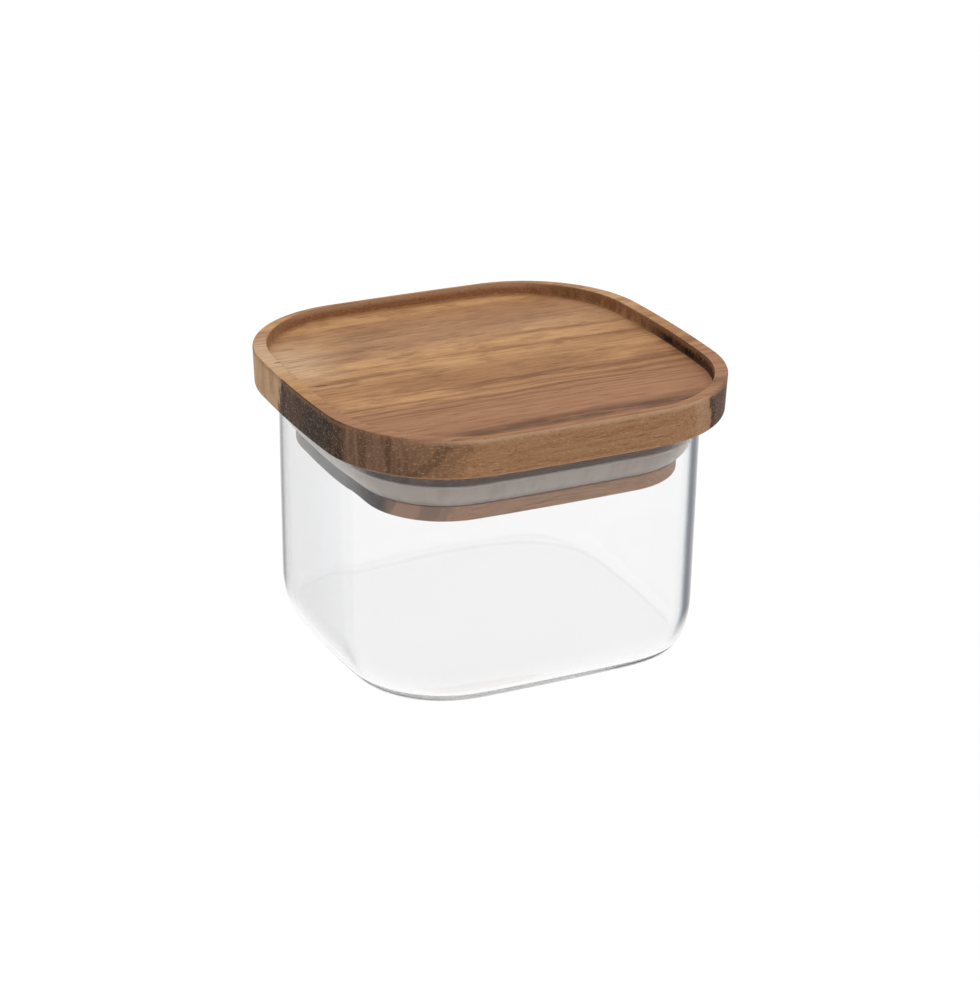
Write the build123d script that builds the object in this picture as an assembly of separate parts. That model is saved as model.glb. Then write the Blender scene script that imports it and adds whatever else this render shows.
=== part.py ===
from build123d import *
import math
import os

# Square glass storage jar with a press-in acacia lid and a silicone seal ring.
# Millimetres, +Z up. The origin is the middle of the jar's foot, on the surface it stands on.
# The grain of the lid runs along X, which is also its longer way.

# Plan: a soft square of bowed sides and round corners. The lid is the outermost outline, and the
# glass, the plug and the ring follow it at a steady distance inwards.
LID_LENGTH = 105.0
LID_WIDTH = 99.4
LID_CORNER = 31.3
LID_END_RADIUS = 350.0
LID_LONG_RADIUS = 855.0

# Glass jar, with a wall that leans in a little towards a tall soft heel
GLASS_INSET = 6.0
GLASS_HEIGHT = 60.9
WALL = 2.0
FLOOR = 1.9
WALL_LEAN = 0.35
HEEL_INWARD = 4.35
HEEL_RISE = 12.2
INNER_HEEL = 2.7
RIM_ROUND = 0.7

# Lid board, which lies on the rim of the glass
BOARD = 10.1
BOARD_DRAFT = 0.35
TOP_ROUND = 0.5
UNDER_ROUND = 1.1

# Shallow tray cut in the top of the board. It is nearly square, so its rim is wider at the two ends.
TRAY_LENGTH = 97.4
TRAY_WIDTH = 96.2
TRAY_CORNER = 29.0
TRAY_END_RADIUS = 300.0
TRAY_LONG_RADIUS = 900.0
TRAY_DEPTH = 3.2
TRAY_COVE = 0.6
TRAY_EDGE = 0.3

# Plug under the board, cut from the same blank, with a groove round it for the ring
PLUG_INSET = 11.6
PLUG_DEPTH = 15.0
PLUG_EDGE_ROUND = 1.1
LOWER_LAND = 4.0
GROOVE_HEIGHT = 4.0
GROOVE_DEPTH = 2.4

# Seal ring: a flat band in the groove, and a lip that flares out and up to the glass
RING_END_GAP = 0.3
LIP_ROOT = 1.5
LIP_TIP = 0.8
LIP_RISE = 6.0
LIP_BOW = 0.75
LIP_CLEARANCE = 0.25

# How far in from its outline each swept border reaches, before a plain slab fills the middle
BORDER = 14.0

# Straight facets that stand for a curve in a section: on large bends, on small ones, and on tiny
# ones and the faces of the ring's lip
LARGE_BEND = 4
SMALL_BEND = 3
TINY_BEND = 2

RIM_Z = GLASS_HEIGHT
TOP_Z = RIM_Z + BOARD
TRAY_Z = TOP_Z - TRAY_DEPTH
PLUG_Z = RIM_Z - PLUG_DEPTH
GROOVE_Z = PLUG_Z + LOWER_LAND


def soft_square(length, width, corner, end_side, long_side, inset):
    """Flat outline of four bowed sides and round corners, drawn in by a steady inset.

    Each side is an arc about a far centre behind the middle, and each corner is an arc that runs
    into both its sides. The centres stay put as the inset grows, so the outlines are parallel.
    """
    end_back = end_side - length / 2
    long_back = long_side - width / 2
    apart = math.hypot(end_back, long_back)
    to_end = end_side - corner
    to_long = long_side - corner
    foot = (to_end ** 2 - to_long ** 2 + apart ** 2) / (2 * apart)
    rise = math.sqrt(to_end ** 2 - foot ** 2)
    knuckle_x = (end_back * foot + long_back * rise) / apart - end_back
    knuckle_y = (end_back * rise - long_back * foot) / apart
    end_half = math.degrees(math.atan2(knuckle_y, knuckle_x + end_back))
    long_half = math.degrees(math.atan2(knuckle_x, knuckle_y + long_back))
    corner_turn = 90 - end_half - long_half
    quarters = [
        (0, (-end_back, 0), end_side, end_half, (knuckle_x, knuckle_y)),
        (90, (0, -long_back), long_side, long_half, (-knuckle_x, knuckle_y)),
        (180, (end_back, 0), end_side, end_half, (-knuckle_x, -knuckle_y)),
        (270, (0, long_back), long_side, long_half, (knuckle_x, -knuckle_y)),
    ]
    arcs = []
    for facing, side_centre, side, half, knuckle in quarters:
        arcs.append(CenterArc(side_centre, side - inset, facing - half, 2 * half))
        arcs.append(CenterArc(knuckle, corner - inset, facing + half, corner_turn))
    return make_face(arcs)


def lid_plan(inset):
    """The lid's outline, or one that runs parallel inside it."""
    return soft_square(LID_LENGTH, LID_WIDTH, LID_CORNER, LID_END_RADIUS, LID_LONG_RADIUS, inset)


def tray_plan(inset):
    """The tray's outline at the top of its wall, or one that runs parallel inside it."""
    return soft_square(
        TRAY_LENGTH, TRAY_WIDTH, TRAY_CORNER, TRAY_END_RADIUS, TRAY_LONG_RADIUS, inset,
    )


def bend(centre, across, up, start, turn, facets):
    """Points of a section along a round or oval bend, from one angle through a turn."""
    angles = [math.radians(start + turn * step / facets) for step in range(facets + 1)]
    return [(centre[0] + across * math.cos(a), centre[1] + up * math.sin(a)) for a in angles]


def bowed(start, end, bow, facets):
    """Points of a section from start to end, on a shallow curve that bows to the right."""
    run = end[0] - start[0]
    rise = end[1] - start[1]
    length = math.hypot(run, rise)
    points = []
    for step in range(facets + 1):
        share = step / facets
        out = 4 * bow * share * (1 - share) / length
        points.append((start[0] + share * run + out * rise, start[1] + share * rise - out * run))
    return points


def run_round(plan, inset, section):
    """Carry a section once round an outline, as a closed border with an open middle.

    The section is a list of points, each the distance outward from the outline and the height.
    """
    path = plan(inset).faces()[0].outer_wire()
    along = path % 0
    across = Plane(origin=path @ 0, x_dir=along.cross(Vector(0, 0, 1)), z_dir=-along)
    return sweep(across * make_face(Polyline(*section, close=True)), path=path)


def filled(plan, inset, section, low, high):
    """The same border, with its open middle filled by a plain slab from low to high."""
    slab = extrude(plan(inset + BORDER), high - low)
    return run_round(plan, inset, section) + Pos(0, 0, low) * slab


def glass_jar():
    """Floor, tall soft heel, wall and fire-rounded rim, with one even cavity."""
    wall_foot = -WALL - WALL_LEAN
    rim_low = RIM_Z - RIM_ROUND
    heel = bend((-HEEL_INWARD, HEEL_RISE), HEEL_INWARD - WALL_LEAN, HEEL_RISE, 270, 90, LARGE_BEND)
    outer_rim = bend((-RIM_ROUND, rim_low), RIM_ROUND, RIM_ROUND, 0, 90, SMALL_BEND)
    inner_rim = bend((RIM_ROUND - WALL, rim_low), RIM_ROUND, RIM_ROUND, 90, 90, SMALL_BEND)
    hollow_middle = (wall_foot - INNER_HEEL, HEEL_RISE)
    hollow = bend(hollow_middle, INNER_HEEL, HEEL_RISE - FLOOR, 0, -90, LARGE_BEND)
    section = [(-BORDER, 0), *heel, *outer_rim, *inner_rim, *hollow, (-BORDER, FLOOR)]
    return filled(lid_plan, GLASS_INSET, section, 0, FLOOR)


def board():
    """Slab with sides that lean in a little towards the underside, and both edges rounded."""
    under_x = -BOARD_DRAFT - UNDER_ROUND
    under = bend((under_x, RIM_Z + UNDER_ROUND), UNDER_ROUND, UNDER_ROUND, 270, 90, SMALL_BEND)
    top = bend((-TOP_ROUND, TOP_Z - TOP_ROUND), TOP_ROUND, TOP_ROUND, 0, 90, TINY_BEND)
    section = [(-BORDER, RIM_Z), *under, *top, (-BORDER, TOP_Z)]
    return filled(lid_plan, 0, section, RIM_Z, TOP_Z)


def tray():
    """The hollow of the tray: a flat floor, a small cove, an upright wall and an eased edge."""
    above = TOP_Z + TRAY_DEPTH
    cove = bend((-TRAY_COVE, TRAY_Z + TRAY_COVE), TRAY_COVE, TRAY_COVE, 270, 90, SMALL_BEND)
    edge = [(0, TOP_Z - TRAY_EDGE), (TRAY_EDGE, TOP_Z), (TRAY_EDGE, above)]
    section = [(-BORDER, TRAY_Z), *cove, *edge, (-BORDER, above)]
    return filled(tray_plan, 0, section, TRAY_Z, above)


def plug():
    """Plug with one groove cut square all round, and a rounded lower edge."""
    groove_top = GROOVE_Z + GROOVE_HEIGHT
    edge_z = PLUG_Z + PLUG_EDGE_ROUND
    edge = bend((-PLUG_EDGE_ROUND, edge_z), PLUG_EDGE_ROUND, PLUG_EDGE_ROUND, 270, 90, SMALL_BEND)
    groove = [(0, GROOVE_Z), (-GROOVE_DEPTH, GROOVE_Z), (-GROOVE_DEPTH, groove_top), (0, groove_top)]
    section = [(-BORDER, PLUG_Z), *edge, *groove, (0, RIM_Z), (-BORDER, RIM_Z)]
    return filled(lid_plan, PLUG_INSET, section, PLUG_Z, RIM_Z)


def wooden_lid():
    """Board, tray and grooved plug, all cut from one blank."""
    return board() + plug() - tray()


def seal_ring():
    """Band and lip in one closed ring. The lip stands bent up, as it is inside the jar."""
    band_low = GROOVE_Z + RING_END_GAP
    band_high = GROOVE_Z + GROOVE_HEIGHT - RING_END_GAP
    reach = PLUG_INSET - GLASS_INSET - WALL - LIP_CLEARANCE
    tip_round = LIP_TIP / 2
    tip_z = band_low + LIP_RISE - tip_round
    outer = bowed((0, band_low), (reach, tip_z), LIP_BOW, TINY_BEND)
    tip = bend((reach - tip_round, tip_z), tip_round, tip_round, 0, 180, TINY_BEND)
    inner = bowed((reach - LIP_TIP, tip_z), (0, band_low + LIP_ROOT), -LIP_BOW, TINY_BEND)
    back = [(0, band_high), (-GROOVE_DEPTH, band_high), (-GROOVE_DEPTH, band_low)]
    section = [*outer, *tip[1:-1], *inner, *back]
    return run_round(lid_plan, PLUG_INSET, section)


PIECES = {
    "glass_jar": glass_jar,
    "wooden_lid": wooden_lid,
    "seal_ring": seal_ring,
}

os.makedirs("parts", exist_ok=True)
for name, make in PIECES.items():
    export_step(make(), f"parts/{name}.step")
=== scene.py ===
import math
import bpy
from mathutils import Matrix, Vector


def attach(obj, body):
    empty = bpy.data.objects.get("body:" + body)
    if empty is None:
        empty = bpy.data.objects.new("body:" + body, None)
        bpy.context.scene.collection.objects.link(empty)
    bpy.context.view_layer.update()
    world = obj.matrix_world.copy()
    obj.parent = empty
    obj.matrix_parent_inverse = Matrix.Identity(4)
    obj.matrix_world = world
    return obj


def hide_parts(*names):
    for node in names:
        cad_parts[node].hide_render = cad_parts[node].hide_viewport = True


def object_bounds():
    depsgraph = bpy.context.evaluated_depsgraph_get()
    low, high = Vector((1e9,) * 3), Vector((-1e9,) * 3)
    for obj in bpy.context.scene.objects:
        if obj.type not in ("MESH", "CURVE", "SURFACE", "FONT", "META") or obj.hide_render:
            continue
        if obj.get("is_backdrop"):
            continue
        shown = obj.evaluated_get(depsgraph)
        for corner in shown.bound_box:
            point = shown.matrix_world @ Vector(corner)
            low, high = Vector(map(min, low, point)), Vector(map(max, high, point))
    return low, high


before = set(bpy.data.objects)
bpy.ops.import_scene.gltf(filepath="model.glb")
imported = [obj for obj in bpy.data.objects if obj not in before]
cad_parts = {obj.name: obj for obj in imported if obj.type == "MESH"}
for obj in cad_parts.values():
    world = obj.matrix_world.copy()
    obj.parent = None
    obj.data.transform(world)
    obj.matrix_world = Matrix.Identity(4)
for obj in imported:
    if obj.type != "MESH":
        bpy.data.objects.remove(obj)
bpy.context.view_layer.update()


# The glass jar
# Blown in one piece of clear glass, with a soft square plan, a fire-polished rim and a tall soft heel.
# Its foot is scuffed dull from standing. Its wall is never quite even, so what is behind it wavers.

# The plan of the whole jar is the lid's, and the glass follows it at a steady distance inside
lid_length = 0.105
lid_width = 0.0994
lid_corner = 0.0313
lid_end_radius = 0.35
lid_long_radius = 0.855
side_steps = 28
corner_steps = 36
crease_angle = math.radians(38)

glass_inset = 0.006
glass_height = 0.0609
glass_wall = 0.002
glass_floor = 0.0019
wall_lean = 0.00035
heel_inward = 0.00435
heel_rise = 0.0122
inner_heel = 0.0027
rim_round = 0.0007
foot_inward = 0.013
wall_waver = 0.00007


def soft_square(length, width, corner, end_side, long_side):
    """Places and outward directions round a square of bowed sides, as pairs of plan vectors."""
    end_back = end_side - length / 2
    long_back = long_side - width / 2
    apart = math.hypot(end_back, long_back)
    to_end = end_side - corner
    to_long = long_side - corner
    foot = (to_end ** 2 - to_long ** 2 + apart ** 2) / (2 * apart)
    rise = math.sqrt(to_end ** 2 - foot ** 2)
    knuckle_x = (end_back * foot + long_back * rise) / apart - end_back
    knuckle_y = (end_back * rise - long_back * foot) / apart
    end_half = math.atan2(knuckle_y, knuckle_x + end_back)
    long_half = math.atan2(knuckle_x, knuckle_y + long_back)
    corner_turn = math.pi / 2 - end_half - long_half
    quarters = [
        (0, (-end_back, 0), end_side, end_half, (knuckle_x, knuckle_y)),
        (1, (0, -long_back), long_side, long_half, (-knuckle_x, knuckle_y)),
        (2, (end_back, 0), end_side, end_half, (-knuckle_x, -knuckle_y)),
        (3, (0, long_back), long_side, long_half, (knuckle_x, -knuckle_y)),
    ]
    places = []
    for quarter, side_centre, side, half, corner_centre in quarters:
        facing = quarter * math.pi / 2
        for centre, radius, start, turn, steps in (
            (side_centre, side, facing - half, 2 * half, side_steps),
            (corner_centre, corner, facing + half, corner_turn, corner_steps),
        ):
            for step in range(steps):
                angle = start + turn * step / steps
                outward = Vector((math.cos(angle), math.sin(angle)))
                places.append((Vector(centre) + radius * outward, outward))
    return places


def drawn_in(outline, inset):
    """The same outline at a steady distance inside."""
    return [(place - inset * outward, outward) for place, outward in outline]


def eased(outline, reach):
    """The same outline with each turn from side to corner spread out, as soft glass turns."""
    count = len(outline)
    turned = []
    for here in range(count):
        near = [outline[(here + step) % count][1] for step in range(-reach, reach + 1)]
        turned.append(sum(near, Vector((0, 0))).normalized())
    places = [outline[0][0]]
    for here in range(count - 1):
        length = (outline[here + 1][0] - outline[here][0]).length
        out = (turned[here] + turned[here + 1]).normalized()
        places.append(places[-1] + length * Vector((-out.y, out.x)))
    middle = sum(places, Vector((0, 0))) / count
    places = [place - middle for place in places]
    grow_x = max(place.x for place, _ in outline) / max(place.x for place in places)
    grow_y = max(place.y for place, _ in outline) / max(place.y for place in places)
    return [(Vector((x * grow_x, y * grow_y)), out) for (x, y), out in zip(places, turned)]


def ring_at(outline, out, height):
    """One ring of points at a steady distance outward from an outline."""
    return [Vector((*(place + out * outward), height)) for place, outward in outline]


def bend(centre, across, up, start, turn, steps):
    """Points of a section along a round or oval bend, as distance outward and height."""
    angles = [math.radians(start + turn * step / steps) for step in range(steps + 1)]
    return [(centre[0] + across * math.cos(a), centre[1] + up * math.sin(a)) for a in angles]


def straight(start, end, steps):
    """Points of a section between two ends, without the ends."""
    shares = [step / steps for step in range(1, steps)]
    return [(start[0] + s * (end[0] - start[0]), start[1] + s * (end[1] - start[1])) for s in shares]


def close_in(ring, shares):
    """Rings that draw a flat ring in towards the middle, for the floor of a hollow or a foot."""
    middle = Vector((0, 0, ring[0].z))
    return [[middle.lerp(point, share) for point in ring] for share in shares]


def skin(name, rings, looped):
    """A mesh of four-sided faces between rings. Its ends are closed with a flat face unless looped."""
    count = len(rings[0])
    points = [tuple(point) for ring in rings for point in ring]
    faces = []
    last = len(rings) if looped else len(rings) - 1
    for low in range(last):
        high = (low + 1) % len(rings)
        for here in range(count):
            there = (here + 1) % count
            faces.append((
                low * count + here, low * count + there,
                high * count + there, high * count + here,
            ))
    if not looped:
        faces.append(tuple(reversed(range(count))))
        faces.append(tuple((len(rings) - 1) * count + here for here in range(count)))
    mesh = bpy.data.meshes.new(name)
    mesh.from_pydata(points, [], faces)
    mesh.validate()
    mesh.shade_smooth()
    mesh.set_sharp_from_angle(angle=crease_angle)
    piece = bpy.data.objects.new(name, mesh)
    bpy.context.scene.collection.objects.link(piece)
    return piece


lid_outline = soft_square(lid_length, lid_width, lid_corner, lid_end_radius, lid_long_radius)
glass_outline = eased(drawn_in(lid_outline, glass_inset), reach=4)

# The section of the glass, from the middle of the foot up the outside and down the inside
wall_foot = -glass_wall - wall_lean
rim_low = glass_height - rim_round
outer_foot = (-foot_inward, 0.0)
inner_foot = (-foot_inward, glass_floor)
heel = bend((-heel_inward, heel_rise), heel_inward - wall_lean, heel_rise, 270, 90, steps=16)
outer_rim = bend((-rim_round, rim_low), rim_round, rim_round, 0, 90, steps=6)
inner_rim = bend((rim_round - glass_wall, rim_low), rim_round, rim_round, 90, 90, steps=6)
hollow_centre = (wall_foot - inner_heel, heel_rise)
hollow = bend(hollow_centre, inner_heel, heel_rise - glass_floor, 0, -90, steps=20)
outside = [outer_foot, *straight(outer_foot, heel[0], steps=5), *heel]
outside += [*straight(heel[-1], outer_rim[0], steps=14), *outer_rim]
inside = [*inner_rim, *straight(inner_rim[-1], hollow[0], steps=14), *hollow]
inside += [*straight(hollow[-1], inner_foot, steps=5), inner_foot]

outer_rings = [ring_at(glass_outline, *point) for point in outside]
inner_rings = [ring_at(glass_outline, *point) for point in inside]
closing_shares = [1 - step / 10 for step in range(1, 10)]
inner_rings += close_in(inner_rings[-1], closing_shares)
outer_rings = close_in(outer_rings[0], reversed(closing_shares)) + outer_rings


def uneven(point):
    """How far blown glass strays from its drawn face at a point, from about -1 to 1."""
    x, y, z = (value * 1000 for value in point)
    slow = math.sin(x / 13 + 0.6) * math.cos(y / 11 - 0.4) * math.cos(z / 17 + 0.3)
    fast = math.sin(x / 5.1 + y / 7.3 + 1.1) * math.cos(z / 9.7 - y / 6.1)
    return 0.75 * slow + 0.25 * fast


# The inside stays even at the mouth, where the ring goes. From there down the wall strays in and out,
# and the floor up and down.
even_rings = len(inner_rim) + 5
for ring in inner_rings[even_rings:]:
    for point, (_, outward) in zip(ring, glass_outline):
        stray = wall_waver * uneven(point)
        if point.z < glass_floor + wall_waver:
            point.z += stray
        else:
            point.x += stray * outward.x
            point.y += stray * outward.y
jar = skin("jar_glass", outer_rings + inner_rings, looped=False)


def finish_nodes(name):
    """A new material with its node tree and its main shader."""
    material = bpy.data.materials.new(name)
    material.use_nodes = True
    tree = material.node_tree
    return material, tree, tree.nodes["Principled BSDF"]


def feed(tree, socket, value):
    """Gives a socket either a link or a plain value."""
    if isinstance(value, bpy.types.NodeSocket):
        tree.links.new(value, socket)
    else:
        socket.default_value = value


def maths(tree, operation, *values):
    """One step of arithmetic on links or numbers."""
    node = tree.nodes.new("ShaderNodeMath")
    node.operation = operation
    for socket, value in zip(node.inputs, values):
        feed(tree, socket, value)
    return node.outputs[0]


def product(tree, first, *others):
    """Several links or numbers multiplied together."""
    for other in others:
        first = maths(tree, "MULTIPLY", first, other)
    return first


def fade(tree, value, low, high, at_low=0.0, at_high=1.0):
    """A smooth change from one amount to another as a value goes from low to high."""
    node = tree.nodes.new("ShaderNodeMapRange")
    node.interpolation_type = "SMOOTHSTEP"
    for socket, amount in zip(node.inputs, (value, low, high, at_low, at_high)):
        feed(tree, socket, amount)
    return node.outputs[0]


def blended(tree, share, under, over):
    """One colour laid over another by a share. The node takes its colours in sockets 6 and 7."""
    node = tree.nodes.new("ShaderNodeMix")
    node.data_type = "RGBA"
    feed(tree, node.inputs[0], share)
    feed(tree, node.inputs[6], under)
    feed(tree, node.inputs[7], over)
    return node.outputs[2]


def split(tree, place):
    """The three parts of a place or a direction."""
    node = tree.nodes.new("ShaderNodeSeparateXYZ")
    tree.links.new(place, node.inputs[0])
    return node.outputs


def stretched(tree, place, scale, shift=(0, 0, 0)):
    """A place in the piece, scaled along each way."""
    node = tree.nodes.new("ShaderNodeMapping")
    tree.links.new(place, node.inputs["Vector"])
    node.inputs["Scale"].default_value = scale
    node.inputs["Location"].default_value = shift
    return node.outputs[0]


def cloud(tree, place, detail=3.0, roughness=0.5):
    """Soft uneven noise, from 0 to 1."""
    node = tree.nodes.new("ShaderNodeTexNoise")
    tree.links.new(place, node.inputs["Vector"])
    node.inputs["Scale"].default_value = 1.0
    node.inputs["Detail"].default_value = detail
    node.inputs["Roughness"].default_value = roughness
    return node.outputs["Fac"]


def bumped(tree, shader, height, distance):
    """Raises and sinks a surface by a height map."""
    node = tree.nodes.new("ShaderNodeBump")
    node.inputs["Distance"].default_value = distance
    node.inputs["Strength"].default_value = 1.0
    tree.links.new(height, node.inputs["Height"])
    tree.links.new(node.outputs["Normal"], shader.inputs["Normal"])


clear_glass, tree, shader = finish_nodes("clear_glass")
coords = tree.nodes.new("ShaderNodeTexCoord")
place = coords.outputs["Object"]
normal = coords.outputs["Normal"]
normal_x, normal_y, normal_z = split(tree, normal)
shader.inputs["Transmission Weight"].default_value = 1.0
shader.inputs["IOR"].default_value = 1.47
pulled = cloud(tree, stretched(tree, place, (60, 60, 22)), detail=1.0)
bumped(tree, shader, pulled, distance=0.00006)

# The foot is dull where it stands, and the walls are only smeared here and there
scuffed = fade(tree, normal_z, -0.75, -0.95, 0.0, 0.45)
smears = cloud(tree, stretched(tree, place, (90, 90, 50)), detail=4.0, roughness=0.65)
dulled = fade(tree, smears, 0.55, 0.8, 0.0, 0.05)
feed(tree, shader.inputs["Roughness"], maths(tree, "ADD", scuffed, dulled))

# Painted shade: seen edge on, the wall is given a darker colour, most of all just inside the outline,
# in place of dark surroundings reflected in the glass
face_on = (0.93, 0.93, 0.935, 1)
painted_edge_shades = (
    (0.50, (0.90, 0.90, 0.905, 1)),
    (0.585, (0.70, 0.705, 0.72, 1)),
    (0.615, (0.36, 0.385, 0.42, 1)),
    (0.645, (0.12, 0.135, 0.16, 1)),
    (0.675, (0.012, 0.015, 0.02, 1)),
    (0.72, (0.0, 0.0, 0.002, 1)),
    (0.84, (0.0, 0.0, 0.002, 1)),
)
outline_shade = (0.05, 0.055, 0.06, 1)
edge_on = tree.nodes.new("ShaderNodeLayerWeight")
edge_on.inputs["Blend"].default_value = 0.5
edge_shade_ramp = tree.nodes.new("ShaderNodeValToRGB")
tree.links.new(edge_on.outputs["Facing"], edge_shade_ramp.inputs[0])
stops = edge_shade_ramp.color_ramp.elements
stops[0].color = face_on
stops[1].color = outline_shade
for position, shade in painted_edge_shades:
    stops.new(position).color = shade

# Only the outer face of the upright wall takes this shade, and the round corners more than the sides
facing_out = tree.nodes.new("ShaderNodeVectorMath")
facing_out.operation = "DOT_PRODUCT"
tree.links.new(place, facing_out.inputs[0])
tree.links.new(normal, facing_out.inputs[1])
outer = fade(tree, facing_out.outputs["Value"], -0.002, 0.002)
upright = fade(tree, maths(tree, "ABSOLUTE", normal_z), 0.05, 0.38, 1.0, 0.0)
diagonal = maths(tree, "ABSOLUTE", product(tree, normal_x, normal_y))
cornered = fade(tree, diagonal, 0.02, 0.17, 0.35, 1.0)
walls = blended(tree, cornered, face_on, edge_shade_ramp.outputs[0])
tint = blended(tree, product(tree, outer, upright), (0.995, 0.995, 0.996, 1), walls)
feed(tree, shader.inputs["Base Color"], tint)
jar.data.materials.append(clear_glass)
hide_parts("glass_jar")
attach(jar, "jar")


# The wooden lid
# One blank of acacia with its grain along X: a board with a shallow tray milled in its top, and a
# plug under it that goes inside the glass. The plug has a groove for the seal. Oiled, not varnished.

board_top = 0.071
board_draft = 0.00035
top_round = 0.0005
under_round = 0.0011
tray_length = 0.0974
tray_width = 0.0962
tray_corner = 0.029
tray_end_radius = 0.3
tray_long_radius = 0.9
tray_floor = 0.0678
tray_cove = 0.0006
tray_edge = 0.0003
tray_inward = 0.014
plug_inset = 0.0116
plug_bottom = 0.0459
plug_round = 0.0011
plug_inward = 0.012
groove_low = 0.0499
groove_high = 0.0539
groove_depth = 0.0024
groove_break = 0.00015

tray_outline = soft_square(tray_length, tray_width, tray_corner, tray_end_radius, tray_long_radius)
cove = bend((-tray_cove, tray_floor + tray_cove), tray_cove, tray_cove, 270, 90, steps=8)
edge = bend((tray_edge, board_top - tray_edge), tray_edge, tray_edge, 180, -90, steps=5)
tray_middle = (-tray_inward, tray_floor)
tray = [tray_middle, *straight(tray_middle, cove[0], steps=4), *cove]
tray += [*straight(cove[-1], edge[0], steps=3), *edge]

top_edge = bend((-top_round, board_top - top_round), top_round, top_round, 90, -90, steps=6)
under_centre = (-board_draft - under_round, glass_height + under_round)
under_edge = bend(under_centre, under_round, under_round, 0, -90, steps=8)
plug_x = -plug_inset
groove_x = plug_x - groove_depth
root = (plug_x, glass_height)
groove = [
    (plug_x, groove_high + groove_break), (plug_x - groove_break, groove_high),
    (groove_x, groove_high), (groove_x, groove_low),
    (plug_x - groove_break, groove_low), (plug_x, groove_low - groove_break),
]
lower_centre = (plug_x - plug_round, plug_bottom + plug_round)
lower_edge = bend(lower_centre, plug_round, plug_round, 0, -90, steps=8)
plug_middle = (plug_x - plug_inward, plug_bottom)
board = [*top_edge, *straight(top_edge[-1], under_edge[0], steps=5), *under_edge]
board += [*straight(under_edge[-1], root, steps=4), root, *groove]
board += [*straight(groove[-1], lower_edge[0], steps=3), *lower_edge]
board += [*straight(lower_edge[-1], plug_middle, steps=4), plug_middle]

tray_rings = [ring_at(tray_outline, *point) for point in tray]
board_rings = [ring_at(lid_outline, *point) for point in board]
tray_rings = close_in(tray_rings[0], reversed(closing_shares)) + tray_rings
board_rings += close_in(board_rings[-1], closing_shares)
lid = skin("wooden_lid_dressed", tray_rings + board_rings, looped=False)
lid.data.flip_normals()


def tone(red, green, blue):
    """A colour as a painter would mix it, from 0 to 255 a part, turned into amounts of light."""
    light = [((part / 255 + 0.055) / 1.055) ** 2.4 for part in (red, green, blue)]
    return (*light, 1)


def straying(tree, value, noise, reach):
    """A value that a noise carries to and fro, over a reach in all."""
    return maths(tree, "ADD", value, product(tree, maths(tree, "SUBTRACT", noise, 0.5), reach))


def squares(tree, one, other):
    """The squares of two values, added up."""
    return maths(tree, "ADD", maths(tree, "POWER", one, 2.0), maths(tree, "POWER", other, 2.0))


def away_from(tree, value, middle):
    """How far a value is from a middle, either way."""
    return maths(tree, "ABSOLUTE", maths(tree, "SUBTRACT", value, middle))


# Places in the wood are in millimetres, along the grain, across it, and up from the jar's foot
acacia, tree, shader = finish_nodes("oiled_acacia")
coords = tree.nodes.new("ShaderNodeTexCoord")
place = stretched(tree, coords.outputs["Object"], (1000, 1000, 1000))
along, across, height = split(tree, place)
normal_x, normal_y, normal_z = split(tree, coords.outputs["Normal"])
end_grain = fade(tree, maths(tree, "ABSOLUTE", normal_x), 0.3, 0.8)
on_side = fade(tree, maths(tree, "ABSOLUTE", normal_z), 0.35, 0.7, 1.0, 0.0)

# The grain wanders to and fro as it runs along the board
slow = cloud(tree, stretched(tree, place, (0.012, 0.03, 0.03)), detail=2.0)
quick = cloud(tree, stretched(tree, place, (0.05, 0.08, 0.08), shift=(7, 3, 0)), detail=2.0)
grain_y = straying(tree, straying(tree, across, slow, 6.0), quick, 2.6)

# Growth rings are wide arcs about a pith that stood above the board
pith_y = 15.0
pith_z = 150.0
from_pith_y = maths(tree, "SUBTRACT", grain_y, pith_y)
from_pith_z = maths(tree, "SUBTRACT", height, pith_z)
ring_depth = maths(tree, "SQRT", squares(tree, from_pith_y, from_pith_z))


def in_grain(tree, along_scale, depth_scale, round_scale):
    """A place stretched along the grain, thin through the growth rings and longer round them."""
    node = tree.nodes.new("ShaderNodeCombineXYZ")
    feed(tree, node.inputs[0], product(tree, along, along_scale))
    feed(tree, node.inputs[1], product(tree, ring_depth, depth_scale))
    feed(tree, node.inputs[2], product(tree, grain_y, round_scale))
    return node.outputs[0]


def slanting(tree, value, level, slope):
    """A value that grows by a slope for each millimetre above a level."""
    return maths(tree, "ADD", value, product(tree, maths(tree, "SUBTRACT", height, level), slope))


def streak(tree, middle, width, start, finish):
    """A soft streak that follows the grain between two places and runs out at its ends."""
    run_out = 9.0
    body = fade(tree, away_from(tree, grain_y, middle), width * 0.15, width, 1.0, 0.0)
    near = fade(tree, along, start - run_out, start + run_out)
    far = fade(tree, along, finish - run_out, finish + run_out, 1.0, 0.0)
    return product(tree, body, near, far)


def oval(tree, middle_x, middle_y, long, wide):
    """A soft oval spot with a ragged edge, long in the grain."""
    off_x = maths(tree, "DIVIDE", maths(tree, "SUBTRACT", along, middle_x), long)
    off_y = maths(tree, "DIVIDE", maths(tree, "SUBTRACT", across, middle_y), wide)
    reach = maths(tree, "SUBTRACT", squares(tree, off_x, off_y), ragged)
    return fade(tree, reach, 0.0, 0.7, 1.0, 0.0)


bands = cloud(tree, in_grain(tree, 0.010, 0.30, 0.10), detail=3.0, roughness=0.55)
lines = cloud(tree, in_grain(tree, 0.020, 1.1, 0.75), detail=4.0, roughness=0.6)
threads = cloud(tree, stretched(tree, place, (0.035, 1.5, 1.5)), detail=3.0, roughness=0.6)
fibres = cloud(tree, stretched(tree, place, (0.16, 3.4, 3.4)), detail=3.0, roughness=0.65)
ragged = cloud(tree, stretched(tree, place, (0.10, 0.8, 0.8)), detail=4.0, roughness=0.65)
patches = stretched(tree, place, (0.11, 0.26, 0.26), shift=(3, 8, 1))
mottled = cloud(tree, patches, detail=4.0, roughness=0.62)

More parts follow.
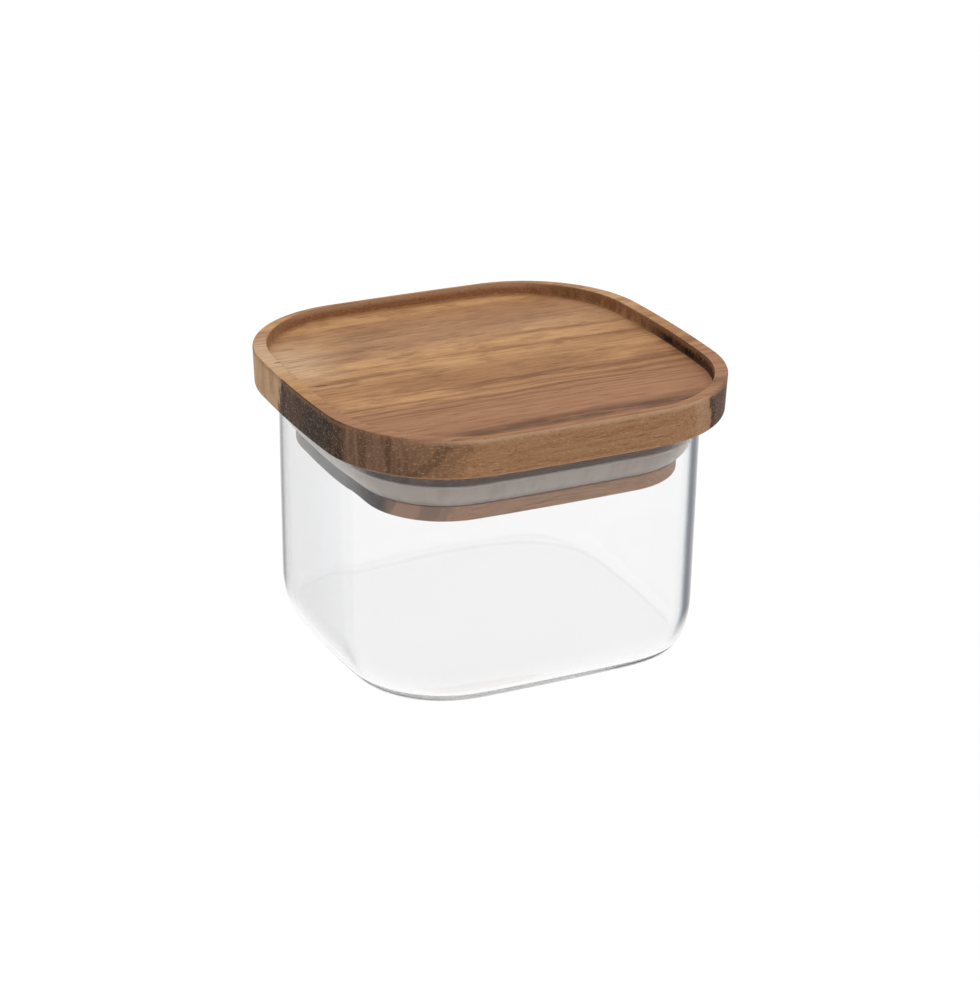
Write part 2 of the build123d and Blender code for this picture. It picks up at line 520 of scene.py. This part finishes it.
# Honey and brown zones, with a pinkish front
honey = tone(210, 162, 112)
brown = tone(182, 134, 92)
umber = tone(142, 100, 68)
pink = tone(176, 129, 96)
russet = tone(150, 98, 66)
bark = tone(126, 84, 58)
dusky = tone(100, 70, 54)
pale = tone(224, 190, 154)
ashen = tone(178, 150, 128)
side_tan = tone(156, 117, 84)
colour = blended(tree, fade(tree, bands, 0.36, 0.66), honey, brown)
colour = blended(tree, product(tree, fade(tree, mottled, 0.45, 0.68), 0.5), colour, umber)
colour = blended(tree, fade(tree, grain_y, -11, -22), colour, pink)

# The wide patches and the streaks of this blank, from its far edge to the near one. Each has its
# middle and reach across the grain, its start and finish along it, its strength and its stain.
streaks = (
    (27, 18, -60, 60, 0.2, ashen),
    (20, 21, -60, -36, 0.8, pale),
    (33, 7, -28, 0, 0.5, umber),
    (32, 8, 8, 38, 0.45, umber),
    (18, 2.2, -36, -24, 0.5, umber),
    (17.5, 2.0, 8, 46, 0.5, umber),
    (5, 2.4, -45, -14, 0.85, umber),
    (9.5, 1.5, 2, 50, 0.8, umber),
    (-3, 10, -30, 27, 0.5, umber),
    (-4, 8, -60, 60, 0.2, russet),
    (-10, 3.4, -13, 60, 0.85, bark),
    (-14.5, 0.9, -50, 50, 0.7, umber),
    (-18, 1.0, -50, 50, 0.75, umber),
    (-21, 0.8, -50, 50, 0.6, umber),
    (-37.5, 4.2, -30, 45, 0.85, dusky),
)
for middle, width, start, finish, strength, stain in streaks:
    broken = fade(tree, ragged, 0.25, 0.6, 0.3, strength)
    share = product(tree, streak(tree, middle, width, start, finish), broken)
    colour = blended(tree, share, colour, stain)
colour = blended(tree, on_side, colour, side_tan)

# Fine dark figure: lines of the growth rings, threads, and short fibres
line_strength = fade(tree, grain_y, 2, -12, 0.16, 0.36)
for figure, low, high, strength, stain in (
    (lines, 0.48, 0.66, line_strength, tone(124, 78, 46)),
    (threads, 0.5, 0.7, 0.22, tone(116, 70, 42)),
    (fibres, 0.42, 0.7, 0.25, tone(98, 58, 34)),
):
    colour = blended(tree, product(tree, fade(tree, figure, low, high), strength), colour, stain)

# Open pores, long in the grain and round dots where the grain is cut across
pore = tree.nodes.new("ShaderNodeTexVoronoi")
pore.inputs["Scale"].default_value = 1.0
tree.links.new(stretched(tree, place, (0.085, 1.5, 1.5)), pore.inputs["Vector"])
pores = fade(tree, pore.outputs["Distance"], 0.10, 0.22, 1.0, 0.0)
colour = blended(tree, product(tree, pores, 0.5), colour, tone(74, 44, 28))

# Cut across, the heartwood drinks the oil and goes dark, and is painted darker still, nearly black, as
# painted shade; the sapwood stays tan
board_middle = 66.0
ends = cloud(tree, stretched(tree, place, (0.3, 0.35, 0.12)), detail=4.0, roughness=0.6)
flecks = cloud(tree, stretched(tree, place, (0.9, 0.9, 0.5)), detail=3.0, roughness=0.7)
blocks = cloud(tree, stretched(tree, place, (0.5, 0.5, 0.04), shift=(5, 2, 0)), detail=2.0)
slanted = straying(tree, slanting(tree, across, board_middle, 0.3), flecks, 6.0)
heart = maths(tree, "MAXIMUM", fade(tree, slanted, 7.5, 4.5), fade(tree, along, 0, 10))
core = product(tree, fade(tree, slanted, -4, -12), fade(tree, slanted, -25, -20))
dry = blended(tree, fade(tree, ends, 0.4, 0.65), tone(174, 142, 108), tone(154, 120, 88))
soaked_and_shaded = blended(tree, fade(tree, ends, 0.4, 0.62), tone(34, 23, 17), tone(66, 47, 35))
soaked_and_shaded = blended(tree, product(tree, core, 0.75), soaked_and_shaded, tone(24, 19, 18))
turned = blended(tree, fade(tree, blocks, 0.42, 0.58), tone(102, 75, 58), tone(134, 102, 81))
soaked_and_shaded = blended(tree, fade(tree, across, -26, -31), soaked_and_shaded, turned)
dusted = product(tree, fade(tree, flecks, 0.52, 0.7), 0.35)
soaked_and_shaded = blended(tree, dusted, soaked_and_shaded, tone(140, 112, 88))
cut_across = blended(tree, heart, dry, soaked_and_shaded)
colour = blended(tree, product(tree, end_grain, 0.985), colour, cut_across)

# Painted shade inside the tray: its back wall is painted red brown, and its right wall is painted dark
# over its end grain, darkest towards the front
inward = maths(tree, "ADD", product(tree, along, normal_x), product(tree, across, normal_y))
faces_in = fade(tree, inward, -1, -15)
back_wall_shade = product(tree, faces_in, fade(tree, across, 0, 10, 0.0, 0.5))
colour = blended(tree, back_wall_shade, colour, tone(146, 94, 58))
right_wall_shade = product(tree, faces_in, end_grain, fade(tree, along, 0, 10))
shaded_wall_tone = blended(tree, fade(tree, ends, 0.35, 0.65), tone(160, 116, 80), tone(124, 84, 52))
shaded_wall_tone = blended(tree, fade(tree, grain_y, 16, -2), shaded_wall_tone, tone(66, 38, 22))
colour = blended(tree, product(tree, right_wall_shade, 0.95), colour, shaded_wall_tone)

# Seams run down the front edge of the board, some on a slant. Each has its middle and reach along
# the grain, its slope, its strength and its stain.
dark_wood = tone(66, 46, 34)
seams = (
    (-46, 4.5, 0.0, 0.45, dark_wood),
    (-41.8, 3.4, 0.0, 0.16, dark_wood),
    (-35, 8.0, -0.5, 0.34, dark_wood),
    (-35.5, 1.9, -0.77, 0.4, dark_wood),
    (33.5, 3.2, 0.2, 0.12, pale),
    (41.8, 5.2, 0.2, 0.82, dark_wood),
    (37.6, 1.1, 0.2, 0.8, tone(44, 30, 22)),
)
front = product(tree, fade(tree, across, -28, -33), on_side)
wavy = straying(tree, along, mottled, 5.0)
for middle, width, slope, strength, stain in seams:
    off = away_from(tree, slanting(tree, wavy, board_middle, slope), middle)
    share = product(tree, fade(tree, off, width * 0.6, width, strength, 0.0), front)
    colour = blended(tree, share, colour, stain)

# Painted highlight: the top arris is painted pale, in ragged patches on the end grain
highlight_ragged_reach = fade(tree, end_grain, 0.0, 1.0, 0.8, 3.0)
arris_highlight_band = fade(tree, straying(tree, height, flecks, highlight_ragged_reach), 69.2, 70.6, 0.0, 0.75)
arris = product(tree, arris_highlight_band, on_side, fade(tree, along, -42, -24, 0.6, 1.0))
arris_highlight_tone = blended(tree, end_grain, tone(190, 154, 124), tone(132, 96, 68))
colour = blended(tree, arris, colour, arris_highlight_tone)

# The plug shows the same blank deeper down: dark where it is end grain, and painted nearly black there
# as painted shade; pinkish tan along the front.
# Leaning blocks of brown follow its corner, each with its middle, half its width and its tone.
plug_blocks = (
    (-39.3, 1.6, tone(118, 88, 68)),
    (-35.6, 2.1, tone(176, 134, 106)),
    (-31.5, 2.1, tone(140, 106, 84)),
    (-28.5, 0.9, tone(156, 122, 98)),
    (-24.0, 1.2, tone(186, 140, 108)),
    (-17.0, 1.0, tone(186, 140, 108)),
)
plug_wood = fade(tree, height, 61.0, 60.0)
plug_behind = product(tree, plug_wood, fade(tree, across, -29, -25))
# Painted shade: the plug's end grain, behind its front, is laid nearly black
colour = blended(tree, product(tree, plug_behind, end_grain, 0.85), colour, tone(24, 18, 14))
plug_front = maths(tree, "SUBTRACT", plug_wood, plug_behind)
plug_tone = blended(tree, fade(tree, fibres, 0.38, 0.62), tone(218, 168, 130), tone(180, 132, 98))
colour = blended(tree, product(tree, plug_front, 0.65), colour, plug_tone)
leaning = straying(tree, slanting(tree, along, 48.0, -0.35), flecks, 1.6)
for middle, half, stain in plug_blocks:
    off = away_from(tree, leaning, middle)
    share = product(tree, fade(tree, off, half * 0.75, half * 1.15, 0.9, 0.0), plug_front)
    colour = blended(tree, share, colour, stain)
# Painted shade: the plug just under the board, above the seal, is darkened brown
neck_shade = product(tree, plug_wood, fade(tree, height, 54.5, 55.5))
colour = blended(tree, product(tree, neck_shade, 0.6), colour, tone(60, 34, 18))

# The sawn sides are flecked light and dark
grit = cloud(tree, stretched(tree, place, (0.8, 1.6, 2.6)), detail=3.0, roughness=0.7)
finer = stretched(tree, place, (1.1, 2.0, 3.4), shift=(4, 9, 2))
grime = cloud(tree, finer, detail=3.0, roughness=0.7)
heart_end = product(tree, end_grain, heart)
sawn = product(tree, on_side, fade(tree, heart_end, 0.0, 1.0, 1.0, 0.75))
light_flecks = product(tree, fade(tree, grit, 0.53, 0.68, 0.0, 0.5), sawn)
dark_flecks = product(tree, fade(tree, grime, 0.55, 0.70, 0.0, 0.6), sawn)
colour = blended(tree, light_flecks, colour, tone(184, 150, 118))
colour = blended(tree, dark_flecks, colour, tone(90, 58, 38))

# Small knots, two on top of the board at its left end, and two low on the tray's right wall. Each
# has its place, its length, its width and its strength.
on_top = fade(tree, on_side, 0.0, 1.0, 1.0, 0.0)
low_down = fade(tree, straying(tree, height, flecks, 3.0), 69.0, 70.0, 1.0, 0.0)
on_wall = product(tree, on_side, low_down)
knots = (
    (on_top, -42.5, 4, 1.6, 0.5, 0.5),
    (on_top, -49, 15, 1.2, 0.5, 0.5),
    (on_wall, 48.7, -3, 3.0, 2.2, 0.95),
    (on_wall, 48.7, -14, 3.0, 2.8, 0.95),
)
for where, middle_x, middle_y, long, wide, strength in knots:
    share = product(tree, oval(tree, middle_x, middle_y, long, wide), strength, where)
    colour = blended(tree, share, colour, tone(40, 24, 16))

feed(tree, shader.inputs["Base Color"], colour)
feed(tree, shader.inputs["Roughness"], fade(tree, fibres, 0.3, 0.7, 0.5, 0.66))
shader.inputs["Specular IOR Level"].default_value = 0.08
relief = maths(tree, "SUBTRACT", product(tree, fibres, 0.25), pores)
bumped(tree, shader, relief, distance=0.00005)
lid.data.materials.append(acacia)
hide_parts("wooden_lid")
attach(lid, "lid")


# The seal ring
# One moulded ring of milky silicone. Its band sits in the plug's groove, and its lip flares out and
# up until it lies against the glass all round.

band_low = 0.0502
band_high = 0.0536
lip_root = 0.0015
lip_tip = 0.0008
lip_rise = 0.006
lip_bow = 0.00075
lip_clearance = 0.00025
lip_reach = plug_inset - glass_inset - glass_wall - lip_clearance
lip_top = band_low + lip_rise


def bowed(start, end, bow, steps):
    """Points of a section on a shallow curve that bows to the right of its way."""
    run = end[0] - start[0]
    rise = end[1] - start[1]
    length = math.hypot(run, rise)
    points = []
    for step in range(steps + 1):
        share = step / steps
        out = 4 * bow * share * (1 - share) / length
        points.append((start[0] + share * run + out * rise, start[1] + share * rise - out * run))
    return points


tip_round = lip_tip / 2
tip_z = lip_top - tip_round
outer_face = bowed((0, band_low), (lip_reach, tip_z), lip_bow, steps=10)
tip = bend((lip_reach - tip_round, tip_z), tip_round, tip_round, 0, 180, steps=8)
inner_face = bowed((lip_reach - lip_tip, tip_z), (0, band_low + lip_root), -lip_bow, steps=10)
back = [(0, band_high), (-groove_depth, band_high), (-groove_depth, band_low)]
seal_section = [*outer_face, *tip[1:-1], *inner_face, *back]
plug_outline = drawn_in(lid_outline, plug_inset)
seal_rings = [ring_at(plug_outline, *point) for point in seal_section]
seal = skin("seal_ring_dressed", seal_rings, looped=True)

# The thin edge of the lip is painted near white as a painted highlight, and the ring is browned in
# soft upright streaks, painted in for the wood seen through it
silicone, tree, shader = finish_nodes("milky_silicone")
place = tree.nodes.new("ShaderNodeTexCoord").outputs["Object"]
rise = split(tree, place)[2]
lip_highlight_share = fade(tree, rise, lip_top - 0.0006, lip_top - 0.0003)
see_through_streaks = cloud(tree, stretched(tree, place, (300, 300, 8)), detail=2.0, roughness=0.6)
milky = (0.95, 0.84, 0.75, 1)
browned = (0.83, 0.72, 0.63, 1)
lip_highlight = (1.0, 0.99, 0.98, 1)
body = blended(tree, fade(tree, see_through_streaks, 0.42, 0.66), milky, browned)
feed(tree, shader.inputs["Base Color"], blended(tree, lip_highlight_share, body, lip_highlight))
shader.inputs["Transmission Weight"].default_value = 0.5
shader.inputs["IOR"].default_value = 1.41
dust = cloud(tree, stretched(tree, place, (400, 400, 400)), detail=3.0, roughness=0.6)
feed(tree, shader.inputs["Roughness"], fade(tree, dust, 0.3, 0.7, 0.28, 0.42))
bumped(tree, shader, dust, distance=0.00002)
seal.data.materials.append(silicone)
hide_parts("seal_ring")
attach(seal, "lid")


# The light table
# A wide sheet of white acrylic lit from below, as small glassware is photographed, with a soft box
# overhead and pale walls round the room.

table_radius = 9.0
table_z = -0.00002
bpy.ops.mesh.primitive_circle_add(
    vertices=96, radius=table_radius, fill_type="NGON", location=(0, 0, table_z),
)
table = bpy.context.object
table.name = "light_table"
acrylic, tree, shader = finish_nodes("lit_acrylic")
shader.inputs["Base Color"].default_value = (0.02, 0.02, 0.02, 1)
shader.inputs["Specular IOR Level"].default_value = 0.0
shader.inputs["Roughness"].default_value = 1.0
shader.inputs["Emission Color"].default_value = (1, 1, 1, 1)
shader.inputs["Emission Strength"].default_value = 1.0
table.data.materials.append(acrylic)
table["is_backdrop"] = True

soft_box = bpy.data.lights.new("soft_box", "AREA")
soft_box.shape = "RECTANGLE"
soft_box.size = 0.9
soft_box.size_y = 0.7
soft_box.energy = 2.4
lamp = bpy.data.objects.new("soft_box", soft_box)
lamp.location = (0.35, 0.25, 0.95)
lamp_aim = Vector((0, 0, 0.06))
lamp.rotation_euler = (lamp_aim - lamp.location).to_track_quat("-Z", "Y").to_euler()
bpy.context.scene.collection.objects.link(lamp)

# The walls of the room are brighter low down than overhead
room = bpy.data.worlds.new("pale_room")
room.use_nodes = True
bpy.context.scene.world = room
tree = room.node_tree
upward = split(tree, tree.nodes.new("ShaderNodeTexCoord").outputs["Generated"])[2]
background = tree.nodes["Background"]
background.inputs["Color"].default_value = (1, 1, 1, 1)
feed(tree, background.inputs["Strength"], fade(tree, upward, 0.42, 0.75, 0.9, 0.72))
bpy.context.scene.view_settings.view_transform = "Standard"

# Light passes through four faces of glass and the ring on its way, so it may turn many times
bpy.context.scene.cycles.max_bounces = 32
bpy.context.scene.cycles.transmission_bounces = 32
bpy.context.scene.cycles.glossy_bounces = 16


# The camera
# It looks down at the jar's front corner from a little over half a metre, through a long lens, and
# leans over by less than a degree.

camera = bpy.data.cameras.new("camera")
camera.sensor_width = 36.0
camera.lens = 101.66
camera.clip_end = 50.0
camera.dof.use_dof = False
viewer = bpy.data.objects.new("camera", camera)
bpy.context.scene.collection.objects.link(viewer)
azimuth, elevation, roll = (math.radians(angle) for angle in (-26.372, 22.91, 0.884))
aim = Vector((-0.00493, -0.01215, 0.04046))
distance = 0.67418
right = Vector((math.cos(azimuth), math.sin(azimuth), 0))
toward_camera = Vector((
    math.sin(azimuth) * math.cos(elevation),
    -math.cos(azimuth) * math.cos(elevation),
    math.sin(elevation),
))
up = toward_camera.cross(right)
rolled_right = math.cos(roll) * right + math.sin(roll) * up
rolled_up = math.cos(roll) * up - math.sin(roll) * right
turn = Matrix((rolled_right, rolled_up, toward_camera)).transposed()
viewer.matrix_world = Matrix.Translation(aim + distance * toward_camera) @ turn.to_4x4()
bpy.context.scene.camera = viewer

low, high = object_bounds()
